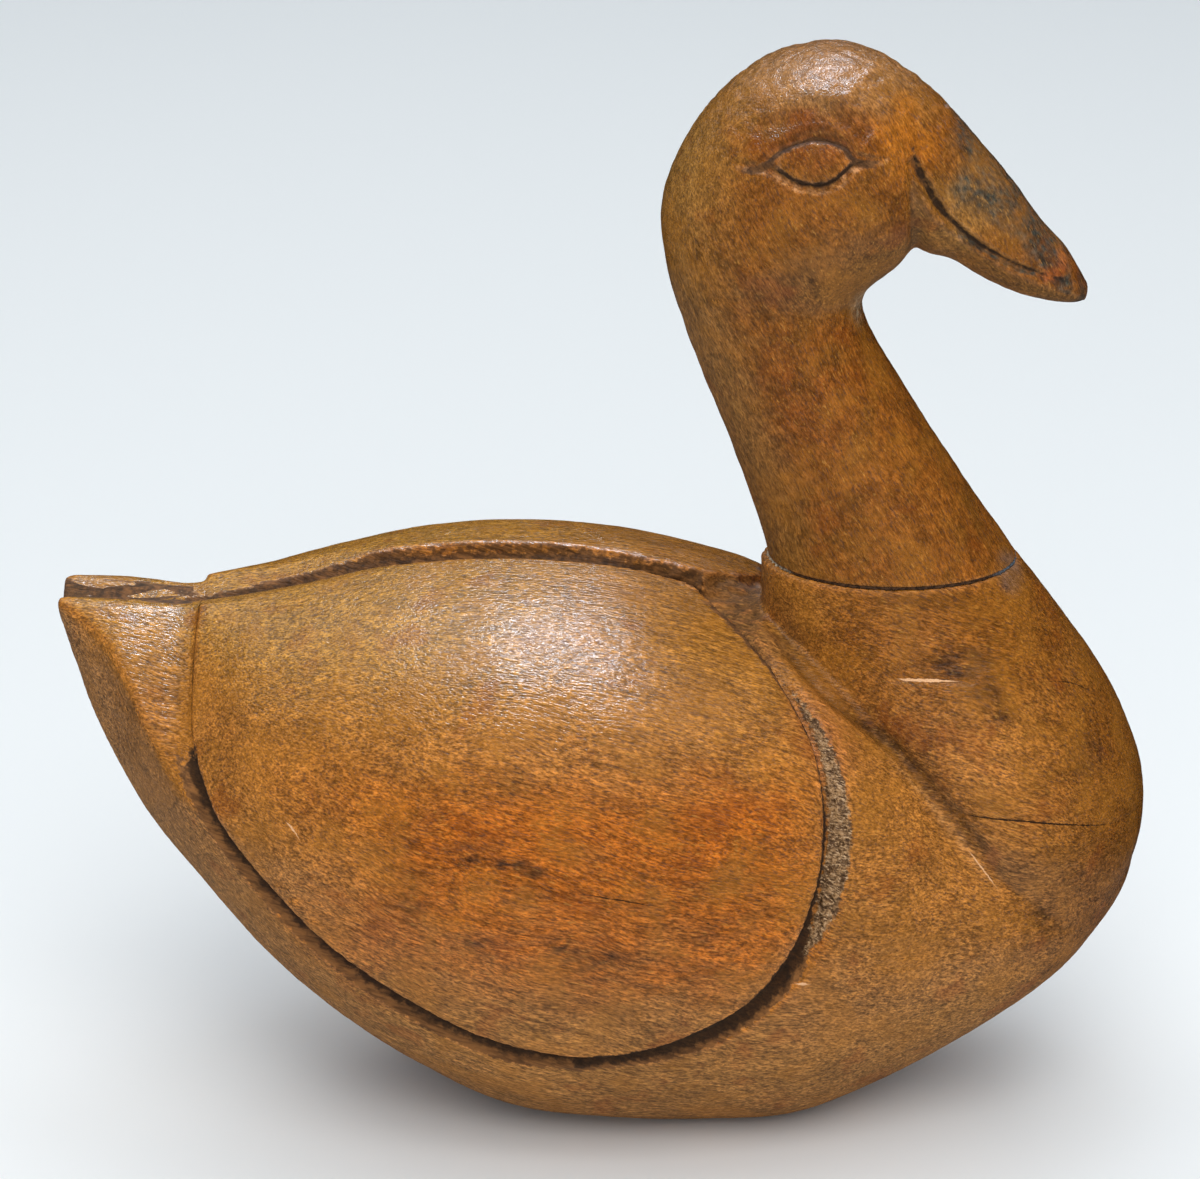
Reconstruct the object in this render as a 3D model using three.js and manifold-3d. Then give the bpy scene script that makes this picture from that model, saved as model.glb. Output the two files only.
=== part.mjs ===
// A carved wooden duck in two glued pieces: the body with its breast and the foot of the neck, and
// the head with the rest of the neck. Millimetres; X runs to the breast, Y to the duck's left,
// Z up. The origin is the middle of the flat underside.
import * as THREE from "three";
import { mergeVertices } from "three/addons/utils/BufferGeometryUtils.js";
import Module from "manifold-3d";

const seamHeight = 79.8; // the glued joint across the neck
const seamGap = 0.3;
const wingRise = 1.3; // how far the wings stand proud of the hull
const axisHeight = 50; // routes round the body turn about a line at this height
const reach = 200; // further than any part of the duck is from its middle
const tailTop = { x: -88.3, z: 75.2, slope: 0.06 }; // the flat cut across the top of the tail

// A rib is a section across the duck: its two ends lie on the outline of the middle plane, and
// it swells to half width w at fraction m of its length, with powers p (first end) and q (last).
const hullRibs = [
  { from: [-87.4, 78.6], to: [-87.4, 70.5], w: 5, m: 0.5, p: 1.2, q: 1.3 },
  { from: [-86.2, 78], to: [-86.2, 65.5], w: 5.8, m: 0.3, p: 1.2, q: 1.3 },
  { from: [-84, 78], to: [-84, 57], w: 7.2, m: 0.24, p: 1.2, q: 1.3 },
  { from: [-80, 78], to: [-80, 47.5], w: 10.6, m: 0.26, p: 1.2, q: 1.3 },
  { from: [-75, 77.6], to: [-75, 39], w: 17, m: 0.39, p: 1.2, q: 1.4 },
  { from: [-69, 75.8], to: [-69, 31], w: 21.6, m: 0.52, p: 1.4, q: 1.4 },
  { from: [-60, 75.2], to: [-60, 21.5], w: 27.5, m: 0.43, p: 1.9, q: 1.8 },
  { from: [-50, 77], to: [-50, 13.5], w: 32, m: 0.41, p: 2.1, q: 2.1 },
  { from: [-38, 78.6], to: [-38, 5.7], w: 35.3, m: 0.38, p: 2.3, q: 2.3 },
  { from: [-25, 79.3], to: [-25, 0.2], w: 37, m: 0.35, p: 2.3, q: 2.5 },
  { from: [-10, 78], to: [-10, -1.5], w: 37.5, m: 0.33, p: 2.3, q: 2.6 },
  { from: [3, 75], to: [3, -2], w: 36.5, m: 0.32, p: 2.3, q: 2.6 },
  { from: [15, 70.5], to: [15, -1.5], w: 34.5, m: 0.35, p: 2.4, q: 2.5 },
  { from: [26, 64], to: [26, 1.8], w: 31, m: 0.37, p: 2.4, q: 2.3 },
  { from: [36, 56], to: [36, 7], w: 26.5, m: 0.39, p: 2.3, q: 2.2 },
  { from: [45, 49], to: [45, 13], w: 23.2, m: 0.4, p: 2.1, q: 2.1 },
  { from: [52, 44], to: [52, 18.5], w: 19.2, m: 0.42, p: 2, q: 2 },
  { from: [58, 42], to: [58, 25.5], w: 13.5, m: 0.44, p: 2, q: 2 },
  { from: [61.5, 41], to: [61.5, 30.5], w: 8, m: 0.48, p: 2, q: 2 },
  { from: [63, 38.5], to: [63, 35], w: 3, m: 0.5, p: 2, q: 2 },
];
const breastRibs = [
  { from: [38, 20.5], to: [53.5, 21.5], w: 12, m: 0.5, p: 2, q: 2 },
  { from: [30, 27.5], to: [59, 28.5], w: 20, m: 0.5, p: 2, q: 2 },
  { from: [25.5, 36], to: [63.4, 37.5], w: 22.4, m: 0.5, p: 2, q: 2 },
  { from: [20, 46], to: [64.2, 46], w: 24.5, m: 0.5, p: 2, q: 2 },
  { from: [16, 54], to: [62, 54], w: 24, m: 0.5, p: 2, q: 2 },
  { from: [12.5, 62], to: [58.2, 62], w: 21.5, m: 0.5, p: 2, q: 2 },
  { from: [10.4, 70], to: [52.6, 70], w: 17.5, m: 0.5, p: 2, q: 2 },
  { from: [9.9, 77], to: [47.4, 77], w: 14.3, m: 0.5, p: 2, q: 2 },
  { from: [9.9, 84], to: [42.3, 84], w: 12.9, m: 0.5, p: 2, q: 2 },
];
const headRibs = [
  { from: [11.6, 74], to: [49.3, 74], w: 15.2, m: 0.5, p: 2, q: 2 },
  { from: [10.6, 81], to: [44.4, 81], w: 13.4, m: 0.5, p: 2, q: 2 },
  { from: [8.4, 88], to: [39.5, 88], w: 12.6, m: 0.5, p: 2, q: 2 },
  { from: [5.5, 96], to: [34.4, 96], w: 12.2, m: 0.5, p: 2, q: 2 },
  { from: [2, 105], to: [28.6, 105], w: 12, m: 0.5, p: 2, q: 2 },
  { from: [-1, 113], to: [23.6, 113.5], w: 12.2, m: 0.5, p: 2, q: 2 },
  { from: [-3, 119.5], to: [23.3, 118.3], w: 12.8, m: 0.5, p: 2, q: 2 },
  { from: [-4.1, 126], to: [28, 122.4], w: 14, m: 0.5, p: 2, q: 2 },
  { from: [-4, 131], to: [32.2, 127.5], w: 14.8, m: 0.5, p: 2, q: 2 },
  { from: [-2.2, 137], to: [33.8, 134], w: 15, m: 0.5, p: 2, q: 2 },
  { from: [1.5, 142.8], to: [33, 140.6], w: 14, m: 0.5, p: 2, q: 2 },
  { from: [6, 147.4], to: [30, 146.2], w: 11.5, m: 0.5, p: 2, q: 2 },
  { from: [10.8, 150.2], to: [25.8, 149.8], w: 7.8, m: 0.5, p: 2, q: 2 },
  { from: [15.5, 151.5], to: [22, 151.4], w: 3.4, m: 0.5, p: 2, q: 2 },
];
const billRibs = [
  { from: [20, 149], to: [25, 127], w: 10, m: 0.6, p: 2, q: 2 },
  { from: [27.6, 148.6], to: [28.6, 125], w: 10.6, m: 0.6, p: 2, q: 2 },
  { from: [33.1, 144.3], to: [31.2, 123.6], w: 9.5, m: 0.6, p: 2.2, q: 2.2 },
  { from: [37.4, 139.3], to: [34.6, 122.7], w: 8.2, m: 0.6, p: 2.3, q: 2.3 },
  { from: [42.6, 133.1], to: [38.5, 120.4], w: 7.2, m: 0.6, p: 2.3, q: 2.3 },
  { from: [46.7, 127.6], to: [43, 118.1], w: 6.2, m: 0.6, p: 2.3, q: 2.3 },
  { from: [50, 124], to: [47.6, 116.7], w: 5, m: 0.6, p: 2.2, q: 2.2 },
  { from: [52.2, 120.5], to: [51, 116.3], w: 3.4, m: 0.55, p: 2, q: 2 },
  { from: [53.3, 118.6], to: [53, 116.6], w: 1.8, m: 0.5, p: 2, q: 2 },
];

// The side view of a wing, from its rear edge along the bottom and up the front.
const wingOutline = [
  [-60, 90], [-65.6, 77.6], [-67.6, 74.5], [-67.9, 62], [-66.4, 56.5], [-63.5, 50.5],
  [-58.4, 44], [-49, 34.5], [-37, 26.5], [-26.5, 21.6], [-14, 19.4], [-3.3, 22], [7, 28],
  [12.8, 35.5], [16.4, 45.5], [17.2, 55], [16, 62.5], [12.9, 67.6], [10.6, 71], [10.4, 75],
  [11, 90],
];

// The plan of the gap between the wings: x, and how far the near and the far edge lie from the
// middle plane. The near wing is cut back further at the foot of the neck.
const wingGap = [
  [-70, 0.6, 0.6], [-54, 1.8, 1.8], [-44, 2.9, 2.9], [-15, 3.1, 3], [-6, 3.2, 1.8], [-2, 3.8, 1.4],
  [1, 6, 1.5], [5.2, 9.8, 3.4], [9, 14.4, 6.6], [12.7, 19.4, 12], [16, 24, 18], [40, 24, 24],
];

// Troughs along the back: [x, rim height, half width, depth, half width of the floor, how far its
// middle lies from the middle plane].
const tailCleft = [
  [-92, 75.6, 4, 2.8, 0.6, 0], [-78, 75, 3.6, 2.3, 0.6, 0], [-68, 74.6, 2.2, 1, 0.5, 0],
];
const backGroove = [
  [-70, 74, 1.2, 1.8, 0.4, 0], [-54, 76.2, 1.8, 1.8, 0.8, 0], [-44, 78.2, 2.9, 2, 1.6, 0],
  [-15, 79, 3.1, 1.8, 1.8, 0], [-6, 77.5, 2.7, 2.4, 1.7, -0.7], [0, 76, 3.5, 3, 2.4, -1.7],
  [4, 75, 5.6, 2.4, 4.4, -3], [8, 74, 8.2, 1.6, 6.5, -4.3], [12, 73, 10, 0.5, 8, -5],
];
const rearHollow = [
  [-77, 74.5, 6, 0.1, 0.6, 0], [-70, 74.2, 6, 1, 0.6, 0], [-64, 75.4, 6, 1.6, 0.8, 0],
  [-54, 77.2, 5.6, 1.3, 1.5, 0], [-46, 78.8, 5, 0.6, 2, 0], [-40, 79.8, 4, 0.2, 2, 0],
];

// Gouge strokes: [x, degrees round the body or height, width, depth]. The front strokes of the two
// sides differ where they start, each at its own wing's edge.
const frontStroke = [
  [16, 31, 3.4, 2], [18.9, 12, 4, 2.2], [18.8, -4, 4.2, 2.2], [16.3, -19, 4, 2.2],
  [10.5, -32, 3.4, 2], [1, -40.5, 2.8, 1.8], [-15, -45.2, 1.6, 1],
];
const nearStroke = [[2, 76, 2, 1.4], [5.6, 66, 2.8, 2], [9.2, 54, 3, 2], ...frontStroke];
const farStroke = [[10.8, 70, 1.6, 1], [12, 58, 2.4, 1.6], [13.6, 46, 3, 2], ...frontStroke];
const rearStroke = [
  [-10, -43.2, 1.6, 1], [-18, -44.5, 3.2, 2], [-27.3, -44, 3.8, 2.2], [-41.4, -38.1, 4.2, 2.4],
  [-53.5, -26.8, 4.4, 2.4], [-62.1, -9.5, 4, 2.2], [-66.4, 8, 2.8, 1.6], [-68.6, 26, 1, 0.5],
];
const upperLid = [
  [4.8, 138.4, 0.6, 0.4], [8, 139, 1, 0.6], [10.6, 141.2, 1.7, 0.9], [15.2, 143.1, 2.4, 1.3],
  [19.5, 142, 1.8, 1], [21.2, 140.2, 1.2, 0.7], [25, 139.2, 0.6, 0.3],
];
const lowerLid = [
  [6, 138.2, 0.8, 0.4], [9.4, 138, 1.3, 0.8], [12, 136.6, 1.6, 0.9], [15.2, 135.8, 1.6, 1],
  [18.4, 136.5, 1.6, 1], [20.9, 138.7, 1.2, 0.7], [24.2, 139.3, 0.6, 0.3],
];
const mouth = [
  [28.6, 139.2, 0.9, 0.6], [30.2, 135.3, 1.7, 1.1], [32.8, 131, 1.5, 1], [37, 126.8, 1.3, 0.9],
  [41.7, 123.7, 1.1, 0.8], [46.2, 121.7, 0.8, 0.6], [49.2, 120.6, 0.5, 0.3],
];

const wasm = await Module();
wasm.setup();

// A closed skin through rings of points that all run the same way round.
function skin(rings) {
  const around = rings[0].length;
  const points = rings.flat();
  const faces = [];
  for (let i = 0; i + 1 < rings.length; i++) {
    for (let j = 0; j < around; j++) {
      const a = i * around + j;
      const b = i * around + ((j + 1) % around);
      faces.push(a, b, a + around, b, b + around, a + around);
    }
  }
  for (const [ring, start] of [[rings[0], 0], [rings.at(-1), points.length - around]]) {
    const middle = points.length;
    points.push(ring.reduce((sum, p) => sum.add(p), new THREE.Vector3()).divideScalar(around));
    for (let j = 0; j < around; j++) {
      const pair = [start + j, start + ((j + 1) % around)];
      faces.push(middle, ...(start ? pair : pair.reverse()));
    }
  }
  return new THREE.BufferGeometry().setFromPoints(points).setIndex(faces);
}

function ribRing(from, to, form, around) {
  const ring = [];
  for (let j = 0; j < around; j++) {
    const turn = (2 * Math.PI * j) / around;
    const [c, s] = [Math.cos(turn), Math.sin(turn)];
    const power = 2 / (c > 0 ? form.p : form.q);
    const along = form.m + (c > 0 ? -form.m : 1 - form.m) * Math.abs(c) ** power;
    const point = from.clone().lerp(to, along);
    point.y = -form.w * Math.sign(s) * Math.abs(s) ** power;
    ring.push(point);
  }
  return ring;
}

// A skin through the ribs, with smooth curves from rib to rib, made larger by grow all round.
function loft(ribs, between, around, grow = 0) {
  const curve = (pick) => new THREE.CatmullRomCurve3(ribs.map(pick), false, "catmullrom", 0.5);
  const from = curve((rib) => new THREE.Vector3(rib.from[0], 0, rib.from[1]));
  const to = curve((rib) => new THREE.Vector3(rib.to[0], 0, rib.to[1]));
  const width = curve((rib) => new THREE.Vector3(rib.w, rib.m, 0));
  const power = curve((rib) => new THREE.Vector3(rib.p, rib.q, 0));
  const rings = [];
  const count = (ribs.length - 1) * between;
  for (let i = 0; i <= count; i++) {
    const [a, b] = [from.getPoint(i / count), to.getPoint(i / count)];
    const out = a.clone().sub(b).setLength(grow);
    const [wide, powers] = [width.getPoint(i / count), power.getPoint(i / count)];
    const form = { w: wide.x + grow, m: wide.y, p: powers.x, q: powers.y };
    rings.push(ribRing(a.add(out), b.sub(out), form, around));
  }
  return skin(rings);
}

function solid(geometry) {
  const shape = geometry.clone();
  shape.deleteAttribute("normal");
  shape.deleteAttribute("uv");
  const merged = mergeVertices(shape, 1e-4);
  const made = new wasm.Manifold(
    new wasm.Mesh({
      numProp: 3,
      vertProperties: new Float32Array(merged.attributes.position.array),
      triVerts: new Uint32Array(merged.index.array),
    }),
  );
  if (made.volume() < 0) throw new Error("a shape is inside out");
  return made;
}

function geometryOf(shape) {
  const mesh = shape.getMesh();
  const geometry = new THREE.BufferGeometry();
  geometry.setAttribute("position", new THREE.BufferAttribute(mesh.vertProperties, 3));
  return geometry.setIndex(new THREE.BufferAttribute(mesh.triVerts, 1));
}

// Everything from one height up, or from another down.
const over = (z) => solid(new THREE.BoxGeometry(400, 400, reach).translate(0, 0, z + reach / 2));
const below = (z) => solid(new THREE.BoxGeometry(400, 400, reach).translate(0, 0, z - reach / 2));

// The same shape on the duck's other side.
function opposite(geometry) {
  const other = geometry.clone().scale(1, -1, 1);
  const faces = other.index.array;
  for (let i = 0; i < faces.length; i += 3) [faces[i], faces[i + 1]] = [faces[i + 1], faces[i]];
  return other;
}
const pair = (geometry) => solid(geometry).add(solid(opposite(geometry)));

// Where a route lies: seen straight from the side, or turned round the body's long axis.
function fromSide(x, z) {
  return new THREE.Ray(new THREE.Vector3(x, -reach, z), new THREE.Vector3(0, 1, 0));
}
function roundBody(x, degrees) {
  const turn = THREE.MathUtils.degToRad(degrees);
  const outward = new THREE.Vector3(0, -Math.cos(turn), Math.sin(turn));
  const start = new THREE.Vector3(x, 0, axisHeight).addScaledVector(outward, reach);
  return new THREE.Ray(start, outward.negate());
}

// A swept V that follows a route over a surface, to be cut out of it. Its bottom leans to the
// right of the way it runs, as a fraction of half its width.
function gouge(surface, route, place, lift, lean) {
  const mesh = new THREE.Mesh(geometryOf(surface), new THREE.MeshBasicMaterial());
  const steps = (route.length - 1) * 3;
  const path = new THREE.CatmullRomCurve3(
    route.map(([a, b]) => new THREE.Vector3(a, b, 0)), false, "catmullrom", 0.5,
  );
  const size = new THREE.CatmullRomCurve3(
    route.map(([, , width, depth]) => new THREE.Vector3(width, depth, 0)), false, "catmullrom", 0.5,
  );
  const hits = [];
  for (let i = 0; i <= steps; i++) {
    const at = path.getPoint(i / steps);
    const ray = place(at.x, at.y);
    const [hit] = new THREE.Raycaster(ray.origin, ray.direction).intersectObject(mesh);
    hits.push({ point: hit.point, normal: hit.face.normal, size: size.getPoint(i / steps) });
  }
  const nearby = (i, reachOut) => hits.slice(Math.max(0, i - reachOut), i + reachOut + 1);
  const rings = hits.map(({ point, size: { x: width, y: depth } }, i) => {
    const normal = nearby(i, 3).reduce((sum, h) => sum.add(h.normal), new THREE.Vector3());
    normal.normalize();
    const near = nearby(i, 1);
    const along = near.at(-1).point.clone().sub(near[0].point);
    const side = along.cross(normal).setLength(width / 2);
    const section = [[-1, 0], [-1, lift], [1, lift], [1, 0], [lean, -depth]];
    return section.map(([across, up]) =>
      point.clone().addScaledVector(side, across).addScaledVector(normal, up),
    );
  });
  return skin(rings);
}

function trough(sections) {
  const clear = 6; // how far its walls run up past the rim
  const rings = sections.map(([x, z, half, depth, floor, middle]) =>
    [[-half, clear], [-half, 0], [-floor, -depth], [floor, -depth], [half, 0], [half, clear]].map(
      ([y, up]) => new THREE.Vector3(x, middle + y, z + up),
    ),
  );
  return solid(skin(rings));
}

// A straight-sided block from an outline, along Y or, standing, along Z.
function prism(outline, depth) {
  const shape = new THREE.Shape(outline.map(([u, v]) => new THREE.Vector2(u, v)));
  return new THREE.ExtrudeGeometry(shape, { depth, bevelEnabled: false });
}

function makeWings() {
  const side = prism(wingOutline, 100).rotateX(Math.PI / 2).translate(0, 50, 0);
  const near = wingGap.map(([x, y]) => [x, -y]);
  const far = wingGap.map(([x, , y]) => [x, y]).reverse();
  const gap = prism([...near, ...far], 40).translate(0, 0, 63);
  return solid(loft(hullRibs, 2, 32, wingRise)).intersect(solid(side)).subtract(solid(gap));
}

function makeBody() {
  const hull = solid(loft(hullRibs, 2, 32));
  const breast = solid(loft(breastRibs, 2, 24)).intersect(below(seamHeight - seamGap / 2));
  const flatTail = new THREE.BoxGeometry(40, 40, 10)
    .translate(0, 0, 5).rotateY(tailTop.slope).translate(tailTop.x, 0, tailTop.z);
  const bare = hull.add(breast);
  return hull
    .subtract(solid(flatTail))
    .subtract(trough(tailCleft))
    .subtract(trough(backGroove))
    .add(makeWings())
    .subtract(trough(rearHollow))
    .add(breast)
    .subtract(solid(gouge(bare, nearStroke, roundBody, 2.2, 0.5)))
    .subtract(solid(opposite(gouge(bare, farStroke, roundBody, 2.2, 0.5))))
    .subtract(pair(gouge(bare, rearStroke, roundBody, 2.2, 0.3)))
    .subtract(below(0));
}

function makeHead() {
  const head = solid(loft(headRibs, 2, 24)).intersect(over(seamHeight + seamGap / 2));
  const whole = head.add(solid(loft(billRibs, 2, 16)));
  return whole
    .subtract(pair(gouge(whole, upperLid, fromSide, 0.8, 0.6)))
    .subtract(pair(gouge(whole, lowerLid, fromSide, 0.6, -0.4)))
    .subtract(pair(gouge(whole, mouth, fromSide, 0.6, 0)));
}

function piece(name, shape, colour) {
  const wood = new THREE.MeshStandardMaterial({ color: colour, roughness: 0.5, metalness: 0 });
  const mesh = new THREE.Mesh(geometryOf(shape), wood);
  mesh.name = name;
  return mesh;
}

const duck = new THREE.Group();
duck.add(piece("body", makeBody(), "#a5682e"));
duck.add(piece("head_and_neck", makeHead(), "#9a5a28"));

export default duck;
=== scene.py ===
import math

import bpy
import numpy as np
from mathutils import Matrix, Vector, noise
from mathutils.bvhtree import BVHTree


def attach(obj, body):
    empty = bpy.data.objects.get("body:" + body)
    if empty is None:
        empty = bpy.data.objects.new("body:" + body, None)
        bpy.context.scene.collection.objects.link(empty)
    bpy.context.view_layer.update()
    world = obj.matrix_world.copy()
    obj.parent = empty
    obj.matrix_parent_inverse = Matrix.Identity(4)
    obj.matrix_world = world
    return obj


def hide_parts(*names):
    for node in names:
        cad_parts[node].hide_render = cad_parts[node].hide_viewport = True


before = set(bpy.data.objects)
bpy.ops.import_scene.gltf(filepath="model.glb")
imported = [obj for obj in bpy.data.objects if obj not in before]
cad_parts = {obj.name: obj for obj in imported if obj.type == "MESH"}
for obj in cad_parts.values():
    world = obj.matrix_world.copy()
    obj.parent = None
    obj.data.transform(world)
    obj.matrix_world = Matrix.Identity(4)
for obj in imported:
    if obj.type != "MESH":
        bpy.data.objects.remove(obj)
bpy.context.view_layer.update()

mm = 0.001

# The body is one block of pale brown timber: hull, tail, folded wings, breast and the foot of the
# neck. It is sawn and rasped to its ribs, the wings are left standing proud of the hull, and their
# outlines are then cut with a V gouge. All of it is stained, varnished and worn by handling.

# A rib is a section across the duck, in millimetres: its two ends (x, z, x, z) on the outline of the
# middle plane, the half width that it swells to, at which fraction of its length, and the powers of
# its two ends, where 2 is an ellipse and more is squarer.
hull_ribs = [
    (-87.4, 78.6, -87.4, 70.5, 5, 0.5, 1.2, 1.3),
    (-86.2, 78, -86.2, 65.5, 5.8, 0.3, 1.2, 1.3),
    (-84, 78, -84, 57, 7.2, 0.24, 1.2, 1.3),
    (-80, 78, -80, 47.5, 10.6, 0.26, 1.2, 1.3),
    (-75, 77.6, -75, 39, 17, 0.39, 1.2, 1.4),
    (-69, 75.8, -69, 31, 21.6, 0.52, 1.4, 1.4),
    (-60, 75.2, -60, 21.5, 27.5, 0.43, 1.9, 1.8),
    (-50, 77, -50, 13.5, 32, 0.41, 2.1, 2.1),
    (-38, 78.6, -38, 5.7, 35.3, 0.38, 2.3, 2.3),
    (-25, 79.3, -25, 0.2, 37, 0.35, 2.3, 2.5),
    (-10, 78, -10, -1.5, 37.5, 0.33, 2.3, 2.6),
    (3, 75, 3, -2, 36.5, 0.32, 2.3, 2.6),
    (15, 70.5, 15, -1.5, 34.5, 0.35, 2.4, 2.5),
    (26, 64, 26, 1.8, 31, 0.37, 2.4, 2.3),
    (36, 56, 36, 7, 26.5, 0.39, 2.3, 2.2),
    (45, 49, 45, 13, 23.2, 0.4, 2.1, 2.1),
    (52, 44, 52, 18.5, 19.2, 0.42, 2, 2),
    (58, 42, 58, 25.5, 13.5, 0.44, 2, 2),
    (61.5, 41, 61.5, 30.5, 8, 0.48, 2, 2),
    (63, 38.5, 63, 35, 3, 0.5, 2, 2),
]
breast_ribs = [
    (38, 20.5, 53.5, 21.5, 12, 0.5, 2, 2),
    (30, 27.5, 59, 28.5, 20, 0.5, 2, 2),
    (25.5, 36, 63.4, 37.5, 22.4, 0.5, 2, 2),
    (20, 46, 64.2, 46, 24.5, 0.5, 2, 2),
    (16, 54, 62, 54, 24, 0.5, 2, 2),
    (12.5, 62, 58.2, 62, 21.5, 0.5, 2, 2),
    (10.4, 70, 52.6, 70, 17.5, 0.5, 2, 2),
    (9.9, 77, 47.4, 77, 14.3, 0.5, 2, 2),
    (9.9, 84, 42.3, 84, 12.9, 0.5, 2, 2),
]

seam_height = 79.8
seam_gap = 0.3
wing_rise = 1.3
axis_height = 50
far = 200

# The side view of a wing (x, z), from its rear edge along the bottom and up the front. Then the gap
# between the wings: x, and how far its near and its far edge lie from the middle plane.
wing_outline = [
    (-60, 90), (-65.6, 77.6), (-67.6, 74.5), (-67.9, 62), (-66.4, 56.5), (-63.5, 50.5),
    (-58.4, 44), (-49, 34.5), (-37, 26.5), (-26.5, 21.6), (-14, 19.4), (-3.3, 22), (7, 28),
    (12.8, 35.5), (16.4, 45.5), (17.2, 55), (16, 62.5), (12.9, 67.6), (10.6, 71), (10.4, 75), (11, 90),
]
wing_gap = [
    (-70, 0.6, 0.6), (-54, 1.8, 1.8), (-44, 2.9, 2.9), (-15, 3.1, 3), (-6, 3.2, 1.8), (-2, 3.8, 1.4),
    (1, 6, 1.5), (5.2, 9.8, 3.4), (9, 14.4, 6.6), (12.7, 19.4, 12), (16, 24, 18), (40, 24, 24),
]

# Troughs along the back: x, rim height, half width, depth, half width of the floor, and how far its
# middle lies from the middle plane.
tail_cleft = [
    (-92, 75.6, 4, 2.8, 0.6, 0), (-78, 75, 3.6, 2.3, 0.6, 0), (-68, 74.6, 2.2, 1, 0.5, 0),
]
back_groove = [
    (-70, 74, 1.2, 1.8, 0.4, 0), (-54, 76.2, 1.8, 1.8, 0.8, 0), (-44, 78.2, 2.9, 2, 1.6, 0),
    (-15, 79, 3.1, 1.8, 1.8, 0), (-6, 77.5, 2.7, 2.4, 1.7, -0.7), (0, 76, 3.5, 3, 2.4, -1.7),
    (4, 75, 5.6, 2.4, 4.4, -3), (8, 74, 8.2, 1.6, 6.5, -4.3), (12, 73, 10, 0.5, 8, -5),
]
rear_hollow = [
    (-77, 74.5, 6, 0.1, 0.6, 0), (-70, 74.2, 6, 1, 0.6, 0), (-64, 75.4, 6, 1.6, 0.8, 0),
    (-54, 77.2, 5.6, 1.3, 1.5, 0), (-46, 78.8, 5, 0.6, 2, 0), (-40, 79.8, 4, 0.2, 2, 0),
]

# Gouge strokes: x, degrees round the body (or height), width, depth. The front strokes of the two
# sides differ where they start, each at its own wing's edge.
front_stroke = [
    (16, 31, 3.4, 2), (18.9, 12, 4, 2.2), (18.8, -4, 4.2, 2.2), (16.3, -19, 4, 2.2),
    (10.5, -32, 3.4, 2), (1, -40.5, 2.8, 1.8), (-15, -45.2, 1.6, 1),
]
near_stroke = [(2, 76, 2, 1.4), (5.6, 66, 2.8, 2), (9.2, 54, 3, 2), *front_stroke]
far_stroke = [(10.8, 70, 1.6, 1), (12, 58, 2.4, 1.6), (13.6, 46, 3, 2), *front_stroke]
rear_stroke = [
    (-10, -43.2, 1.6, 1), (-18, -44.5, 3.2, 2), (-27.3, -44, 3.8, 2.2), (-41.4, -38.1, 4.2, 2.4),
    (-53.5, -26.8, 4.4, 2.4), (-62.1, -9.5, 4, 2.2), (-66.4, 8, 2.8, 1.6), (-68.6, 26, 1, 0.5),
]


def flowing(rows, between):
    """The rows with smooth curves of numbers from each to the next."""
    rows = np.array(rows, float)
    rows = np.vstack([2 * rows[0] - rows[1], rows, 2 * rows[-1] - rows[-2]])
    count = len(rows) - 3
    at = np.linspace(0, count, count * between + 1)
    start = np.minimum(at.astype(int), count - 1)
    t = (at - start)[:, None]
    a, b, c, d = (rows[start + k] for k in range(4))
    bend = (2 * a - 5 * b + 4 * c - d) * t**2 + (3 * b - a - 3 * c + d) * t**3
    return b + ((c - a) * t + bend) / 2


def new_piece(name, points, faces):
    mesh = bpy.data.meshes.new(name)
    mesh.from_pydata([Vector(p) * mm for p in points], [], faces)
    piece = bpy.data.objects.new(name, mesh)
    bpy.context.scene.collection.objects.link(piece)
    return piece


def skin(name, rings):
    """A closed piece through rings of points that all run the same way round."""
    rings = np.array(rings, float)
    count, around = rings.shape[:2]
    points = [*rings.reshape(-1, 3), rings[0].mean(0), rings[-1].mean(0)]
    low, high = count * around, count * around + 1
    last = (count - 1) * around
    faces = []
    for j in range(around):
        k = (j + 1) % around
        for i in range(0, last, around):
            faces.append((i + j, i + k, i + around + k, i + around + j))
        faces += [(low, k, j), (high, last + j, last + k)]
    return new_piece(name, points, faces)


def loft(name, ribs, between, around, grow=0.0):
    """A skin through the ribs, made larger by grow all round."""
    turn = np.arange(around) * 2 * math.pi / around
    c, s = np.cos(turn), np.sin(turn)
    rings = []
    for x0, z0, x1, z1, wide, middle, first, second in flowing(ribs, between):
        ends = np.array([[x0, z0], [x1, z1]])
        out = (ends[0] - ends[1]) * grow / np.linalg.norm(ends[0] - ends[1])
        ends += [out, -out]
        power = 2 / np.where(c > 0, first, second)
        along = middle + np.where(c > 0, -middle, 1 - middle) * np.abs(c) ** power
        x, z = ends[0][:, None] + (ends[1] - ends[0])[:, None] * along
        y = -(wide + grow) * np.sign(s) * np.abs(s) ** power
        rings.append(np.stack([x, y, z], 1))
    return skin(name, rings)


def settle(piece):
    """Turns what the piece's modifiers make into its own plain mesh."""
    ready = piece.evaluated_get(bpy.context.evaluated_depsgraph_get())
    made = bpy.data.meshes.new_from_object(ready)
    piece.modifiers.clear()
    old, piece.data = piece.data, made
    bpy.data.meshes.remove(old)


def work(piece, how, *others):
    """Joins the other pieces to a piece, or cuts it with them, and uses them up."""
    for other in others:
        step = piece.modifiers.new(how, "BOOLEAN")
        step.operation, step.solver, step.object = how, "MANIFOLD", other
    settle(piece)
    for other in others:
        bpy.data.objects.remove(other)


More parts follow.
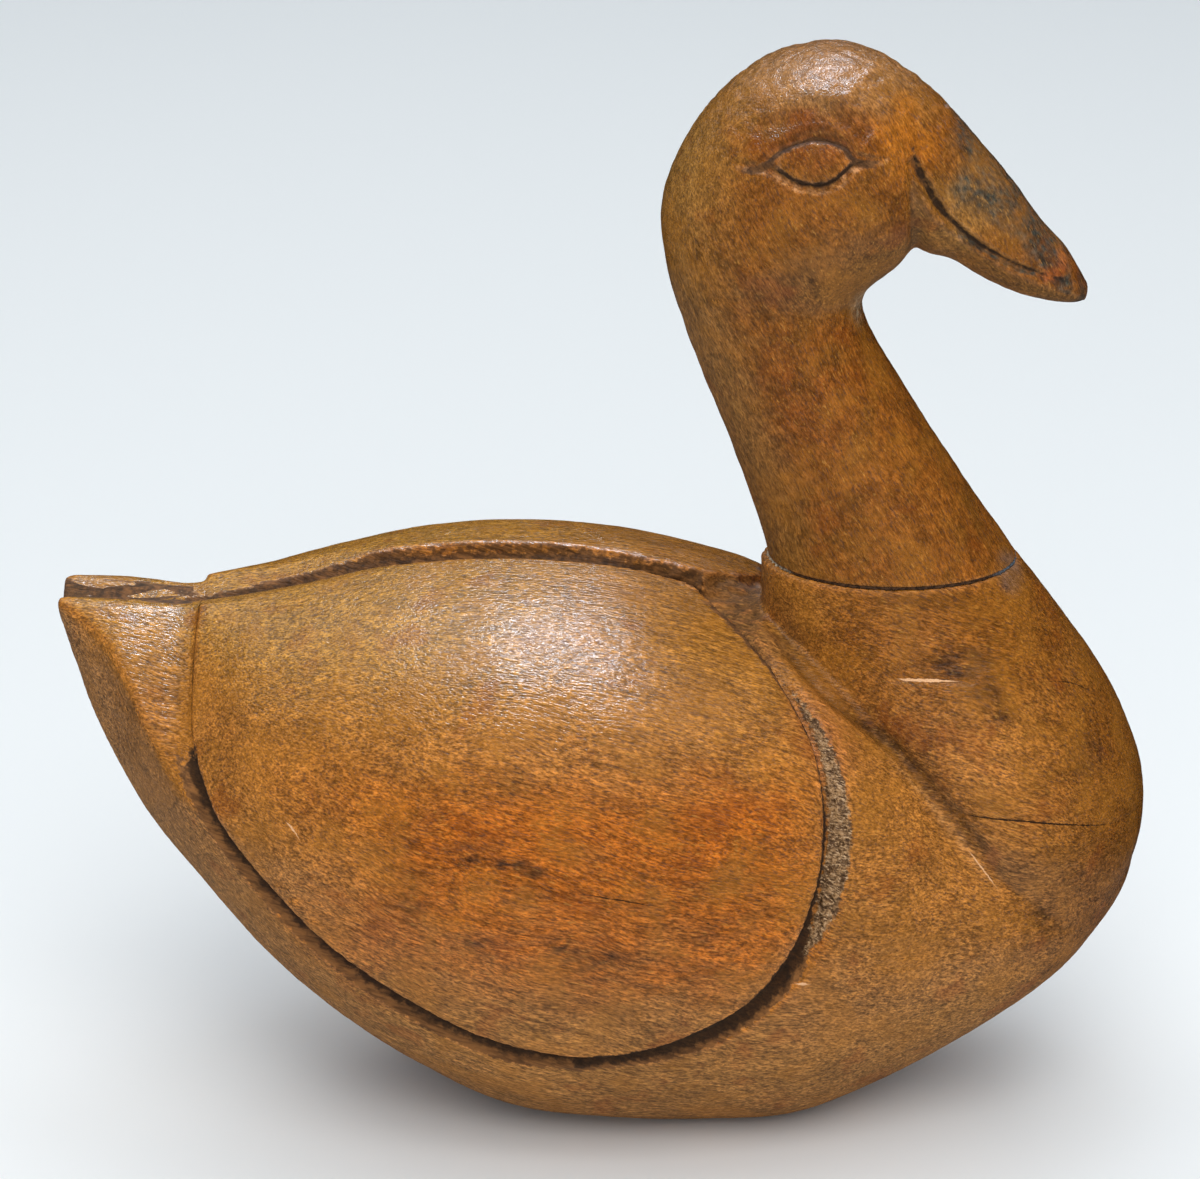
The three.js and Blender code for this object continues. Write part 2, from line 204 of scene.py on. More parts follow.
def prism(name, outline, start, end, plan):
    """A straight-sided block from an outline, upright from a plan, or crosswise from a side view."""
    outline = np.array(outline, float)
    if plan:
        rings = [[(x, y, level) for x, y in outline] for level in (start, end)]
    else:
        rings = [[(x, y, z) for x, z in outline] for y in (end, start)]
    count = len(outline)
    faces = [tuple(range(count))[::-1], tuple(range(count, 2 * count))]
    for j in range(count):
        k = (j + 1) % count
        faces.append((j, k, count + k, count + j))
    return new_piece(name, [*rings[0], *rings[1]], faces)


def block(name, low, high):
    corners = [(low[0], low[1]), (high[0], low[1]), (high[0], high[1]), (low[0], high[1])]
    return prism(name, corners, low[2], high[2], plan=True)


def trough(name, sections):
    clear = 6
    rings = []
    for x, z, half, depth, floor, middle in flowing(sections, 6):
        sides = [(-half, clear), (-half, 0), (-floor, -depth)]
        sides += [(-y, up) for y, up in reversed(sides)]
        rings.append([(x, middle + y, z + up) for y, up in sides])
    return skin(name, rings)


def from_side(x, z):
    return Vector((x, -far, z)) * mm, Vector((0, 1, 0))


def round_body(x, degrees):
    turn = math.radians(degrees)
    outward = Vector((0, -math.cos(turn), math.sin(turn)))
    return (Vector((x, 0, axis_height)) + outward * far) * mm, -outward


def laid(surface, route, place, steps=10):
    """A route laid on a surface: its points, the surface's normals there, widths and depths."""
    rows = flowing(route, steps)
    tree = BVHTree.FromObject(surface, bpy.context.evaluated_depsgraph_get())
    hits = [tree.ray_cast(*place(*row[:2])) for row in rows]
    points = np.array([hit[0] for hit in hits]) / mm
    normals = np.array([hit[1] for hit in hits])
    padded = np.pad(normals, ((steps, steps), (0, 0)), "edge")
    normals = np.array([padded[i:i + 2 * steps + 1].mean(0) for i in range(len(normals))])
    normals /= np.linalg.norm(normals, axis=1, keepdims=True)
    return points, normals, rows[:, 2], rows[:, 3]


def gouge(name, path, lift, lean, opposite=False):
    """A V swept along a path, to be cut out, its bottom leaning to one side; or its mirror image."""
    points, normals, widths, depths = path
    side = np.cross(np.gradient(points, axis=0), normals)
    side *= (widths / 2 / np.linalg.norm(side, axis=1))[:, None]
    section = [(-1, 0), (-1, lift), (1, lift), (1, 0), (lean, -1)]
    rings = np.stack(
        [points + side * across + normals * (depths * up if up < 0 else up + 0 * depths)[:, None]
         for across, up in section], 1)
    return skin(name, (rings * [1, -1, 1])[:, ::-1] if opposite else rings)


body = loft("body_carved", hull_ribs, 6, 160)
breast = loft("breast", breast_ribs, 8, 128)
foot_top = seam_height - seam_gap / 2
work(breast, "DIFFERENCE", block("over_seam", (-far, -far, foot_top), (far, far, far)))
bare = loft("bare", hull_ribs, 6, 160)
work(bare, "UNION", new_piece("breast_copy", *[
    [v.co / mm for v in breast.data.vertices], [tuple(p.vertices) for p in breast.data.polygons]]))
near_path = laid(bare, near_stroke, round_body)
far_path = laid(bare, far_stroke, round_body)
rear_path = laid(bare, rear_stroke, round_body)
bpy.data.objects.remove(bare)

wings = loft("wings", hull_ribs, 6, 160, wing_rise)
work(wings, "INTERSECT", prism("side_view", flowing(wing_outline, 4), -60, 60, plan=False))
gap_edges = flowing(wing_gap, 4)
gap = np.vstack([gap_edges[:, [0, 1]] * [1, -1], gap_edges[::-1, [0, 2]]])
work(wings, "DIFFERENCE", prism("gap", gap, 63, 103, plan=True))

flat_tail = block("flat_tail", (-20, -20, 0), (20, 20, 10))
flat_tail.data.transform(Matrix.Rotation(0.06, 4, "Y"))
flat_tail.data.transform(Matrix.Translation(Vector((-88.3, 0, 75.2)) * mm))
work(body, "DIFFERENCE", flat_tail)
work(body, "DIFFERENCE", trough("cleft", tail_cleft))
work(body, "DIFFERENCE", trough("groove", back_groove))
work(body, "UNION", wings)
work(body, "DIFFERENCE", trough("rear_hollow", rear_hollow))
work(body, "UNION", breast)
for opposite, front_path in ((False, near_path), (True, far_path)):
    work(body, "DIFFERENCE", gouge("front_cut", front_path, 2.2, 0.5, opposite))
    work(body, "DIFFERENCE", gouge("rear_cut", rear_path, 2.2, 0.3, opposite))
work(body, "DIFFERENCE", block("ground", (-far, -far, -far), (far, far, 0)))


def even_out(piece, cell):
    """Gives the piece an even skin of small faces, cell millimetres wide."""
    step = piece.modifiers.new("even", "REMESH")
    step.mode, step.voxel_size = "VOXEL", cell * mm
    settle(piece)


def measured(piece):
    """The piece's points in millimetres, its normals and its edges."""
    mesh = piece.data
    points, normals = (np.empty(3 * len(mesh.vertices), np.float32) for _ in range(2))
    mesh.vertices.foreach_get("co", points)
    mesh.vertex_normals.foreach_get("vector", normals)
    edges = np.empty(2 * len(mesh.edges), np.int32)
    mesh.edges.foreach_get("vertices", edges)
    points, normals = (a.reshape(-1, 3).astype(float) for a in (points, normals))
    return points / mm, normals, edges.reshape(-1, 2)


def neighbour_mean(values, edges):
    ends, others = np.concatenate([edges, edges[:, ::-1]]).T
    count = np.bincount(ends, minlength=len(values))
    if values.ndim == 1:
        return np.bincount(ends, values[others], len(values)) / count
    sums = [np.bincount(ends, values[others, k], len(values)) for k in range(3)]
    return np.stack(sums, 1) / count[:, None]


def smooth_step(value, low, high):
    t = np.clip((value - low) / (high - low), 0, 1)
    return t * t * (3 - 2 * t)


def band(value, low, high, edge):
    return smooth_step(value, low, low + edge) * smooth_step(value, high, high - edge)


def speckle(points, size, place=0.0):
    """Soft random values from about -1 to 1 over the points, with lumps of that size (x, y, z)."""
    return np.array([noise.noise(Vector(p)) for p in points / np.array(size) + place]) * 1.6


def beside(points, line, normals):
    """Of each point: its distance to a line, how far it lies to the line's side, and how far along."""
    side = np.cross(np.gradient(line, axis=0), normals)
    side /= np.linalg.norm(side, axis=1, keepdims=True)
    gap, across, along = (np.full(len(points), 1e3) for _ in range(3))
    reach = 8
    close = ((points > line.min(0) - reach) & (points < line.max(0) + reach)).all(1)
    ids = np.nonzero(close)[0]
    for some in np.array_split(ids, max(1, len(ids) // 20000)):
        away = points[some, None] - line[None]
        squares = (away**2).sum(2)
        best = squares.argmin(1)
        gap[some] = np.sqrt(squares.min(1))
        across[some] = (away[np.arange(len(some)), best] * side[best]).sum(1)
        along[some] = best / (len(line) - 1)
    return gap, across, along


def patch(points, centre, radii):
    """1 round a centre, falling softly to 0 at that distance from it along X, Y and Z."""
    return smooth_step(np.linalg.norm((points - centre) / radii, axis=1), 1, 0.25)


def relax(points, edges, share, rounds):
    """Evens the points out among their neighbours, each by its own share."""
    for _ in range(rounds):
        points = points + share * (neighbour_mean(points, edges) - points)
    return points


def hollowness(points, normals, edges, rounds):
    """How far the surface curves inwards at each point, averaged over its neighbours."""
    bend = ((neighbour_mean(points, edges) - points) * normals).sum(1)
    for _ in range(rounds):
        bend = neighbour_mean(bend, edges)
    return bend


def near_side(points):
    """The points, with those of the far side mirrored to the near one."""
    return points * np.where(points[:, 1:2] > 0, [[1, -1, 1]], [[1, 1, 1]])


def reshape(piece, points):
    piece.data.vertices.foreach_set("co", (points * mm).astype(np.float32).ravel())
    piece.data.update()


def tint(red, green, blue):
    """A colour as the eye reads it, 0 to 255, turned into what the shader works with."""
    shares = np.array([red, green, blue]) / 255
    return [*np.where(shares > 0.04045, ((shares + 0.055) / 1.055) ** 2.4, shares / 12.92), 1]


def stained(colours, share, red, green, blue):
    """The colours, each turned towards another by its own share."""
    return colours + np.clip(share, 0, 1)[:, None] * (np.array(tint(red, green, blue)) - colours)


def mark(piece, name, values):
    attribute = piece.data.attributes.new(name, "FLOAT", "POINT")
    attribute.data.foreach_set("value", np.asarray(values, np.float32))


def colour(piece, colours):
    attribute = piece.data.attributes.new("tone", "FLOAT_COLOR", "POINT")
    attribute.data.foreach_set("color", np.asarray(colours, np.float32).ravel())


def thin_out(piece, triangles):
    """Merges faces where the surface is calm, down to that many triangles, and shades it smooth."""
    piece.data.calc_loop_triangles()
    step = piece.modifiers.new("thin", "DECIMATE")
    step.ratio = min(1.0, triangles / len(piece.data.loop_triangles))
    settle(piece)
    piece.data.shade_smooth()


even_out(body, 0.42)
points, normals, edges = measured(body)
points = relax(points, edges, 0.5, 2)

# Where each point lies: by the gouge cuts, between the wings, on the foot of the neck, by the valley
# between neck and shoulder, and by the wing's edge as seen from the side.
mirrored = near_side(points)
near = points[:, 1] < 0
near_cut, far_cut = (beside(mirrored, *path[:2]) for path in (near_path, far_path))
front_gap, front_across, front_along = np.where(near, near_cut, far_cut)
rear_gap, rear_across, rear_along = beside(mirrored, *rear_path[:2])
edge_x, near_edge, far_edge = np.array(wing_gap, float).T
half_gap = np.where(near, np.interp(points[:, 0], edge_x, near_edge),
                    np.interp(points[:, 0], edge_x, far_edge))
on_top = smooth_step(points[:, 2], 64, 67) * band(points[:, 0], -72, 15, 2)
between = half_gap - np.abs(points[:, 1]) + 0.5 - 60 * (1 - on_top)
foot = smooth_step(points[:, 0], 8, 9) * smooth_step(points[:, 2], 76.5, 78.5)
valley = flowing([
    (10.7, -4.1, 73.8), (11.4, -10.9, 71.3), (14.6, -16.3, 68.8), (18.6, -19.7, 65.4),
    (22.7, -20.5, 62.3), (26.1, -20.9, 59.5), (29.8, -21.8, 55.9), (33.6, -23.3, 52), (38.5, -23.9, 45.7),
    (43, -23.2, 39), (46.6, -22.3, 33.7),
], 8)
valley_gap, valley_across, valley_along = beside(mirrored, valley, (0.3, -0.8, 0.5))
rim = flowing(wing_outline, 4)
rim_gap = np.sqrt(np.min([
    (mirrored[:, 0] - x) ** 2 + (mirrored[:, 2] - z) ** 2 for x, z in rim if z < 80], 0))
calm = smooth_step(np.minimum(front_gap, rear_gap), 2.5, 4) * smooth_step(rim_gap, 0.8, 2.2)
calm *= (1 - foot) * smooth_step(between, 0.4, -1.6)
points = relax(points, edges, (0.5 * calm)[:, None], 14)

# Rasp and knife leave soft flats. The gouge leaves torn end grain on the breast side of its cut, and
# the floor between wings and neck is left rough. The neck's side was bruised, and dried out.
handwork = 0.16 * speckle(points, (17, 17, 17)) + 0.05 * speckle(points, (6, 5, 5), 31)
figure = 0.03 * speckle(points, (2.4, 0.8, 0.8), 7)
grit = speckle(points, (0.9, 0.9, 0.9), 3)
chunks = speckle(points, (2.6, 2.2, 2.2), 17)
torn_half = np.interp(front_along, [0.22, 0.3, 0.42, 0.56, 0.66, 0.74], [-0.5, 0.3, 1.1, 1.5, 1.0, -0.5])
torn = np.maximum(np.abs(front_across + 0.75) - torn_half, front_gap - 3)
rough_floor = smooth_step(between, -0.2, 0.8) * band(points[:, 0], -8, 10.8, 2)
shoulder_floor = patch(mirrored, (9, -13, 73), (9, 8, 6)) * smooth_step(front_across, 0.6, -0.4)
rough = 0.2 * grit * smooth_step(torn, 0.3, -0.3)
rough += (0.22 * grit + 0.4 * chunks) * np.maximum(rough_floor, 0.6 * shoulder_floor)
rough += 0.12 * chunks * smooth_step(np.minimum(front_gap, rear_gap), 2.6, 1.4)


# Scratches and cracks as seen from the near side (x, z), each with its half width.
scratch = [(27.1, 68.4), (29.2, 68.3), (31.4, 68.3), (34.2, 68.2), (37.8, 68)]
crack = [(33.6, 52), (37.6, 51), (41.7, 50.5), (45.8, 49.9), (51.5, 48.6), (57.9, 46.6), (62.5, 45.6)]
pale_lines = [
    (scratch, 0.19), ([(36.8, 46.8), (39.6, 42.9), (42.4, 38.9)], 0.07),
    ([(-54.6, 53.5), (-53.6, 52.6), (-52.2, 50.4)], 0.12), ([(13.9, 30.5), (15.9, 30.2)], 0.2),
]
dark_lines = [
    (crack, 0.12), ([(46, 67.1), (51.5, 65.4), (55, 63.1), (58, 60.8)], 0.03), (wing_outline[:6], 0.05),
    ([(-16.9, 46.3), (-12.5, 45.8), (-7.2, 44.7), (-2.3, 43.5)], 0.07), ([(-3.2, 44.3), (2.1, 41.3), (5, 40)], 0.05),
]


def drawn(route):
    """As beside, of a line (x, z) seen from the near side."""
    flat = np.where(near[:, None], points * (1, 0, 1), 1e3)
    return beside(flat, flowing([(x, 0, z) for x, z in route], 8), (0, 1, 0))


bruise = patch(points, (36.5, -17, 70.3), (6.5, 6, 2.4))
valley_ends = band(valley_along, 0.02, 0.94, 0.2)
crease = smooth_step(valley_gap, 2.6, 0.3) * valley_ends
shift = handwork * calm + figure * (1 - foot) + rough
for route, depth in ((scratch, 0.22), (crack, 0.15)):
    shift -= depth * smooth_step(drawn(route)[0], 0.7, 0.1)
shift -= 0.3 * bruise
shift -= 0.7 * crease * smooth_step(-valley_across, -0.8, 1.2)
shift += 0.18 * valley_ends * band(valley_across, 0.2, 2.2, 0.8) * smooth_step(valley_gap, 3, 1.5)
standing = smooth_step(points[:, 2], 0.3, 3)
points += normals * (shift * standing)[:, None]
points[:, 2] = np.maximum(points[:, 2], 0)
reshape(body, points)

points, normals, edges = measured(body)
mirrored = near_side(points)
bend = hollowness(points, normals, edges, 3)
wide_bend = hollowness(points, normals, edges, 28)
drift = np.stack([speckle(points, (5, 5, 5), place) for place in (41, 53, 67)], 1)
loose = mirrored + 1.6 * drift

under = smooth_step(normals[:, 2], 0.1, -0.5)

# The cuts hold old dirt, darkened with painted shade in their depths, and the wing's side is rubbed
# to orange. Upward-facing parts of the back are paler ochre, partly the wood's own tone and partly
# painted light from above. The belly and breast are browner, and downward-facing surfaces turn olive.
low_stretch = smooth_step(front_along, 0.62, 0.74)
front_low = 0.75 - 2.3 * low_stretch
cut = np.maximum(np.maximum(front_low - front_across, front_across - 2.5), front_gap - 3.1)
cut = np.maximum(cut, 14 * (0.04 - front_along))
rear_cut = np.maximum(np.maximum(-2.1 - rear_across, rear_across - 1.9), rear_gap - 3)
cut = np.minimum(cut, np.maximum(rear_cut, 14 * (rear_along - 0.97)))
cut = np.minimum(cut, np.where(points[:, 0] < 2, 0.35 - between, 3))
cleft = np.maximum(np.abs(points[:, 1]) - 3.6, np.maximum(points[:, 0] + 69, 71 - points[:, 2]))
cleft = np.maximum(cleft, -3.2 * speckle(points, (6, 1.2, 1.2), 71) - 0.4)
cut = np.minimum(cut, cleft)
mark(body, "cut", np.minimum(cut, 4))
mark(body, "torn", np.minimum(torn, 4))
lowest = np.where(front_gap < rear_gap, front_across, rear_across)
# How far each cut's fill goes to near black: dirt, with painted shade darkest towards the wing's side of each cut,
# and a middling amount along the back.
mark(body, "soot_and_shade", np.where(points[:, 2] < 66, smooth_step(lowest, -1.5, -0.2), 0.45))
mark(body, "dull", np.maximum(np.maximum(rough_floor, 0.8 * shoulder_floor), under))

side = smooth_step(-mirrored[:, 1], 14, 24)
orange = side * band(loose[:, 2], 24, 66, 12) * band(loose[:, 0], -62, 22, 16)
# Upward-facing surfaces high on the back turn paler ochre: partly the wood's own tone, partly painted light from
# above.
ochre_and_top_light = smooth_step(normals[:, 2], 0.4, 0.95) * smooth_step(loose[:, 2], 52, 74)
tones = np.tile(tint(167, 105, 42), (len(points), 1))
tones = stained(tones, 0.9 * orange, 174, 90, 10)
tones = stained(tones, 0.45 * patch(loose, (-50, -34, 48), (15, 16, 18)), 190, 126, 54)
tones = stained(tones, 0.45 * smooth_step(drift[:, 0], 0.1, 0.8), 140, 86, 34)
ochre_and_top_light *= 0.35 + 0.65 * smooth_step(loose[:, 0], 2, -34)
tones = stained(tones, 0.85 * ochre_and_top_light, 172, 122, 44)
# Downward-facing surfaces turn a paler olive brown.
tones = stained(tones, 0.6 * under, 150, 108, 58)
tones = stained(tones, 0.7 * smooth_step(loose[:, 0], 44, 62) * smooth_step(loose[:, 2], 66, 40), 124, 90, 40)
tones = stained(tones, 0.6 * patch(loose, (17, -22, 62), (9, 12, 12)), 178, 106, 58)
foot_tone = smooth_step(loose[:, 0], 14, 24) * smooth_step(loose[:, 2], 56, 72)
tones = stained(tones, 0.85 * np.maximum(foot_tone, smooth_step(loose[:, 0], 38, 58)), 126, 72, 16)
for centre, radii, strength in (
        ((-24, -38.3, 50.4), (3.4, 5, 1.6), 0.8), ((-21.8, -38.3, 49.2), (2.4, 5, 1.4), 0.8),
        ((-30, -37.7, 50.4), (2.6, 5, 1.4), 0.6), ((-30, -37, 52.5), (5, 5, 0.9), 0.5),
        ((1.2, -37.5, 39.1), (1.8, 5, 1.2), 0.8), ((-17.6, -38.1, 37.2), (3.4, 5, 2.6), 0.45),
        ((-12.5, -38, 35.8), (4.5, 5, 1.6), 0.35), ((-28.9, -37.3, 38.3), (6, 5, 2), 0.3),
        ((-38, -36, 44), (3.4, 5, 6), 0.3), ((-7.2, -38.5, 48.1), (1.6, 5, 1), 0.6),
        ((36, -16.8, 70.2), (7, 6, 2.4), 0.45), ((40.3, -17.9, 66.8), (3.4, 6, 3), 0.5),
        ((41.7, -19, 63.8), (2.6, 6, 2.2), 0.4), ((43.6, -22.9, 55.4), (0.7, 4, 0.7), 0.9),
        ((48, -21.5, 34.9), (2.4, 5, 2.4), 0.5), ((12.5, -32.9, 31.4), (0.9, 4, 1.4), 0.9),
        ((54, -16, 56), (6, 8, 4), 0.35), ((30, -22, 60), (6, 6, 8), 0.25)):
    spot = patch(points + 0.8 * drift, centre, radii)
    tones = stained(tones, 2.1 * strength * spot * (0.6 + 0.9 * grit), 66, 42, 26)
# Painted shade in the valley between neck and shoulder: a broad darkening on the neck side, and a darker line in the
# crease itself.
neck_side_shade = smooth_step(valley_gap, 7, 1) * smooth_step(valley_across, 0.4, -0.6) * valley_ends
tones = stained(tones, 0.55 * neck_side_shade * (0.85 + 0.3 * grit), 84, 50, 20)
tones = stained(tones, 0.7 * smooth_step(valley_across, 0.8, -1) * crease * (0.85 + 0.3 * grit), 62, 40, 20)
# Painted shade in the hollows, where the surface curves inwards over a wide area.
tones = stained(tones, smooth_step(wide_bend, 0.004, 0.03) * 0.6, 84, 56, 28)
tones = stained(tones, 0.75 * np.maximum(rough_floor, 0.5 * shoulder_floor), 104, 72, 40)
# A pale streak on the shoulder side of the valley: worn grain, with a painted highlight on its lit edge.
worn_lit_streak = valley_ends * band(valley_across, 0.1, 1.5, 0.5) * smooth_step(valley_along, 0.4, 0.6)
tones = stained(tones, 0.7 * worn_lit_streak * (0.6 + 0.6 * grit), 196, 136, 78)
tones = stained(tones, 0.45 * smooth_step(-bend, 0.006, 0.03), 190, 118, 56)
seam_smear = patch(points + 0.7 * drift, (44, -6, 79), (3.4, 6, 2.4))
tones = stained(tones, 0.6 * seam_smear, 74, 78, 80)
colour(body, tones)


# Each line is marked by how far a point lies to its side, and by how far it reaches there.
for kind, lines in (("dark", dark_lines), ("pale", pale_lines)):
    aside, reach = np.zeros((2, len(points)))
    nearest = np.full(len(points), 2.0)
    for route, half_width in lines:
        gap, across, along = drawn(route)
        here = gap < nearest
        nearest[here], aside[here] = gap[here], across[here]
        narrowing = smooth_step(along, 0, 0.3) * smooth_step(along, 1, 0.6)
        reach[here] = (half_width + 0.07) * narrowing[here]
    mark(body, kind + "_aside", aside)
    mark(body, kind + "_reach", reach)
thin_out(body, 190000)


def node(tree, kind, values, family="Shader", **settings):
    """A node whose values are numbers, colours or other nodes' outputs, by socket."""
    made = tree.nodes.new(family + "Node" + kind)
    for name, value in settings.items():
        setattr(made, name, value)
    for socket, value in values.items():
        if isinstance(value, bpy.types.NodeSocket):
            tree.links.new(value, made.inputs[socket])
        else:
            made.inputs[socket].default_value = value
    return made


def sum_of(tree, how, *values):
    return node(tree, "Math", dict(enumerate(values)), operation=how).outputs[0]


def ramp(tree, value, low, high, start=0.0, end=1.0):
    values = {0: value, 1: low, 2: high, 3: start, 4: end}
    return node(tree, "MapRange", values, interpolation_type="SMOOTHSTEP").outputs[0]


def mix(tree, share, first, second):
    return node(tree, "Mix", {0: share, 6: first, 7: second}, data_type="RGBA").outputs[2]


def lumps(tree, where, size, detail=2.0, rough=0.5):
    """Noise over a place measured in millimetres, with lumps of that size (x, y, z)."""
    place = node(tree, "Mapping", {"Vector": where, "Scale": [1 / s for s in size]}).outputs[0]
    values = {"Vector": place, "Scale": 1.0, "Detail": detail, "Roughness": rough}
    return node(tree, "TexNoise", values).outputs[0]


def read_mark(tree, name, output="Fac"):
    return node(tree, "Attribute", {}, attribute_name=name).outputs[output]


def stroke(tree, kind, jitter):
    """1 on the lines of one kind, falling to 0 at their edges."""
    aside = sum_of(tree, "ABSOLUTE", read_mark(tree, kind + "_aside"))
    reach = sum_of(tree, "MULTIPLY", read_mark(tree, kind + "_reach"), sum_of(tree, "SUBTRACT", 1.0, jitter))
    return ramp(tree, sum_of(tree, "SUBTRACT", reach, aside), 0.0, 0.12)


def aged_wood(name, grain, leather):
    """Stained and varnished timber, worn by handling. Grain turns its fibres from the X axis, and
    leather is how far its surface is dented all over instead of showing its fibres."""
    wood = bpy.data.materials.new(name)
    wood.use_nodes = True
    tree = wood.node_tree
    shader = tree.nodes["Principled BSDF"]
    place = node(tree, "TexCoord", {}).outputs["Object"]
    place = node(tree, "VectorMath", {0: place, "Scale": 1 / mm}, operation="SCALE").outputs[0]
    fibre = node(tree, "Mapping", {"Vector": place, "Rotation": grain}).outputs[0]
    sway = node(tree, "TexNoise", {"Vector": place, "Scale": 0.06, "Detail": 1.0}).outputs["Color"]
    sway = node(tree, "VectorMath", {0: sway, 1: (0.5, 0.5, 0.5)}, operation="SUBTRACT").outputs[0]
    sway = node(tree, "VectorMath", {0: sway, "Scale": 3.5}, operation="SCALE").outputs[0]
    fibre = node(tree, "VectorMath", {0: fibre, 1: sway}, operation="ADD").outputs[0]

    dashes = lumps(tree, fibre, (1.5 - 0.7 * leather, 0.27, 0.27), 1.5, 0.6)
    threads = lumps(tree, fibre, (6, 0.55, 0.55), 2.0, 0.6)
    figure = lumps(tree, fibre, (30, 3.4, 3.4), 2.0)
    grain = lumps(tree, fibre, (0.75, 0.26, 0.26), 2.0, 0.6)
    mottle = lumps(tree, place, [1.1 + 0.4 * leather] * 3, 3.0, 0.62)
    patches = lumps(tree, place, (8, 8, 8), 3.0, 0.6)

    shade = ramp(tree, threads, 0.3, 0.7, 0.7 + 0.14 * leather, 1.3 - 0.14 * leather)
    shade = sum_of(tree, "MULTIPLY", shade, ramp(
        tree, mottle, 0.32, 0.68, 0.84 - 0.1 * leather, 1.16 + 0.1 * leather))
    shade = sum_of(tree, "MULTIPLY", shade, ramp(tree, figure, 0.3, 0.7, 0.88, 1.1))
    shade = sum_of(tree, "MULTIPLY", shade, ramp(
        tree, grain, 0.34, 0.66, 0.55 + 0.2 * leather, 1.4 - 0.15 * leather))
    tone = node(tree, "VectorMath", {0: read_mark(tree, "tone", "Color"), "Scale": shade}, operation="SCALE")
    tone = mix(tree, ramp(tree, patches, 0.46, 0.66, 0.0, 0.35), tone.outputs[0], tint(172, 108, 30))
    tone = mix(tree, ramp(tree, patches, 0.44, 0.3, 0.0, 0.35), tone, tint(140, 66, 14))
    tone = mix(tree, ramp(tree, dashes, 0.42, 0.3, 0.0, 0.55), tone, tint(78, 44, 14))
    tone = mix(tree, ramp(tree, dashes, 0.6, 0.74, 0.0, 0.3), tone, tint(226, 160, 72))

    most = 0.35 - 0.25 * leather
    jitter = ramp(tree, mottle, 0.25, 0.75, -most, most)
    cut = sum_of(tree, "ADD", read_mark(tree, "cut"), jitter)
    in_cut = ramp(tree, cut, 0.2, -0.2)
    soot_and_shade = sum_of(tree, "ADD", read_mark(tree, "soot_and_shade"), jitter)
    # Cuts are filled with dirt, taken towards near black by the soot-and-shade mark: painted shade in their depths.
    dirt_and_shade = mix(tree, ramp(tree, threads, 0.35, 0.65), tint(92, 58, 28), tint(138, 90, 46))
    dirt_and_shade = mix(tree, ramp(tree, soot_and_shade, 0.1, 0.8), dirt_and_shade, tint(44, 29, 16))
    tone = mix(tree, sum_of(tree, "MULTIPLY", in_cut, 0.92), tone, dirt_and_shade)
    torn = sum_of(tree, "ADD", read_mark(tree, "torn"), jitter)
    in_torn = ramp(tree, torn, 0.2, -0.25)
    ends = mix(tree, ramp(tree, mottle, 0.38, 0.64), tint(94, 64, 36), tint(172, 130, 86))
    ends = mix(tree, ramp(tree, grain, 0.52, 0.68), ends, tint(208, 168, 124))
    ends = mix(tree, ramp(tree, grain, 0.46, 0.36, 0.0, 0.8), ends, tint(66, 44, 24))
    tone = mix(tree, in_torn, tone, ends)
    tone = mix(tree, stroke(tree, "dark", jitter), tone, tint(54, 34, 18))
    tone = mix(tree, stroke(tree, "pale", jitter), tone, tint(236, 180, 130))
    tree.links.new(tone, shader.inputs["Base Color"])
    shader.inputs["Specular IOR Level"].default_value = 0.55

    dull = sum_of(tree, "MAXIMUM", in_cut, sum_of(tree, "MULTIPLY", in_torn, 0.35))
    dull = sum_of(tree, "MAXIMUM", dull, read_mark(tree, "dull"))
    dull = sum_of(tree, "MAXIMUM", dull, ramp(tree, dashes, 0.46, 0.3, 0.0, 0.6))
    tree.links.new(ramp(tree, dull, 0.0, 1.0, 0.25, 0.9), shader.inputs["Roughness"])
    height = ramp(tree, dashes, 0.3, 0.7, 0.0, 0.045)
    height = sum_of(tree, "ADD", height, ramp(tree, threads, 0.3, 0.7, 0.0, 0.04 * (1 - leather)))
    height = sum_of(tree, "ADD", height, ramp(tree, mottle, 0.25, 0.75, 0.0, 0.03 + 0.09 * leather))
    height = sum_of(tree, "ADD", height, sum_of(
        tree, "MULTIPLY", in_torn, ramp(tree, mottle, 0.3, 0.7, 0.0, 0.3)))
    bump = node(tree, "Bump", {"Height": height, "Strength": 1.0, "Distance": mm}).outputs[0]
    tree.links.new(bump, shader.inputs["Normal"])
    return wood


def finish_with(piece, material):
    piece.data.materials.clear()
    piece.data.materials.append(material)
    piece.data.polygons.foreach_set("material_index", [0] * len(piece.data.polygons))


finish_with(body, aged_wood("body_wood", (0, -0.3, 0), 0.0))
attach(body, "root")
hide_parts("body")

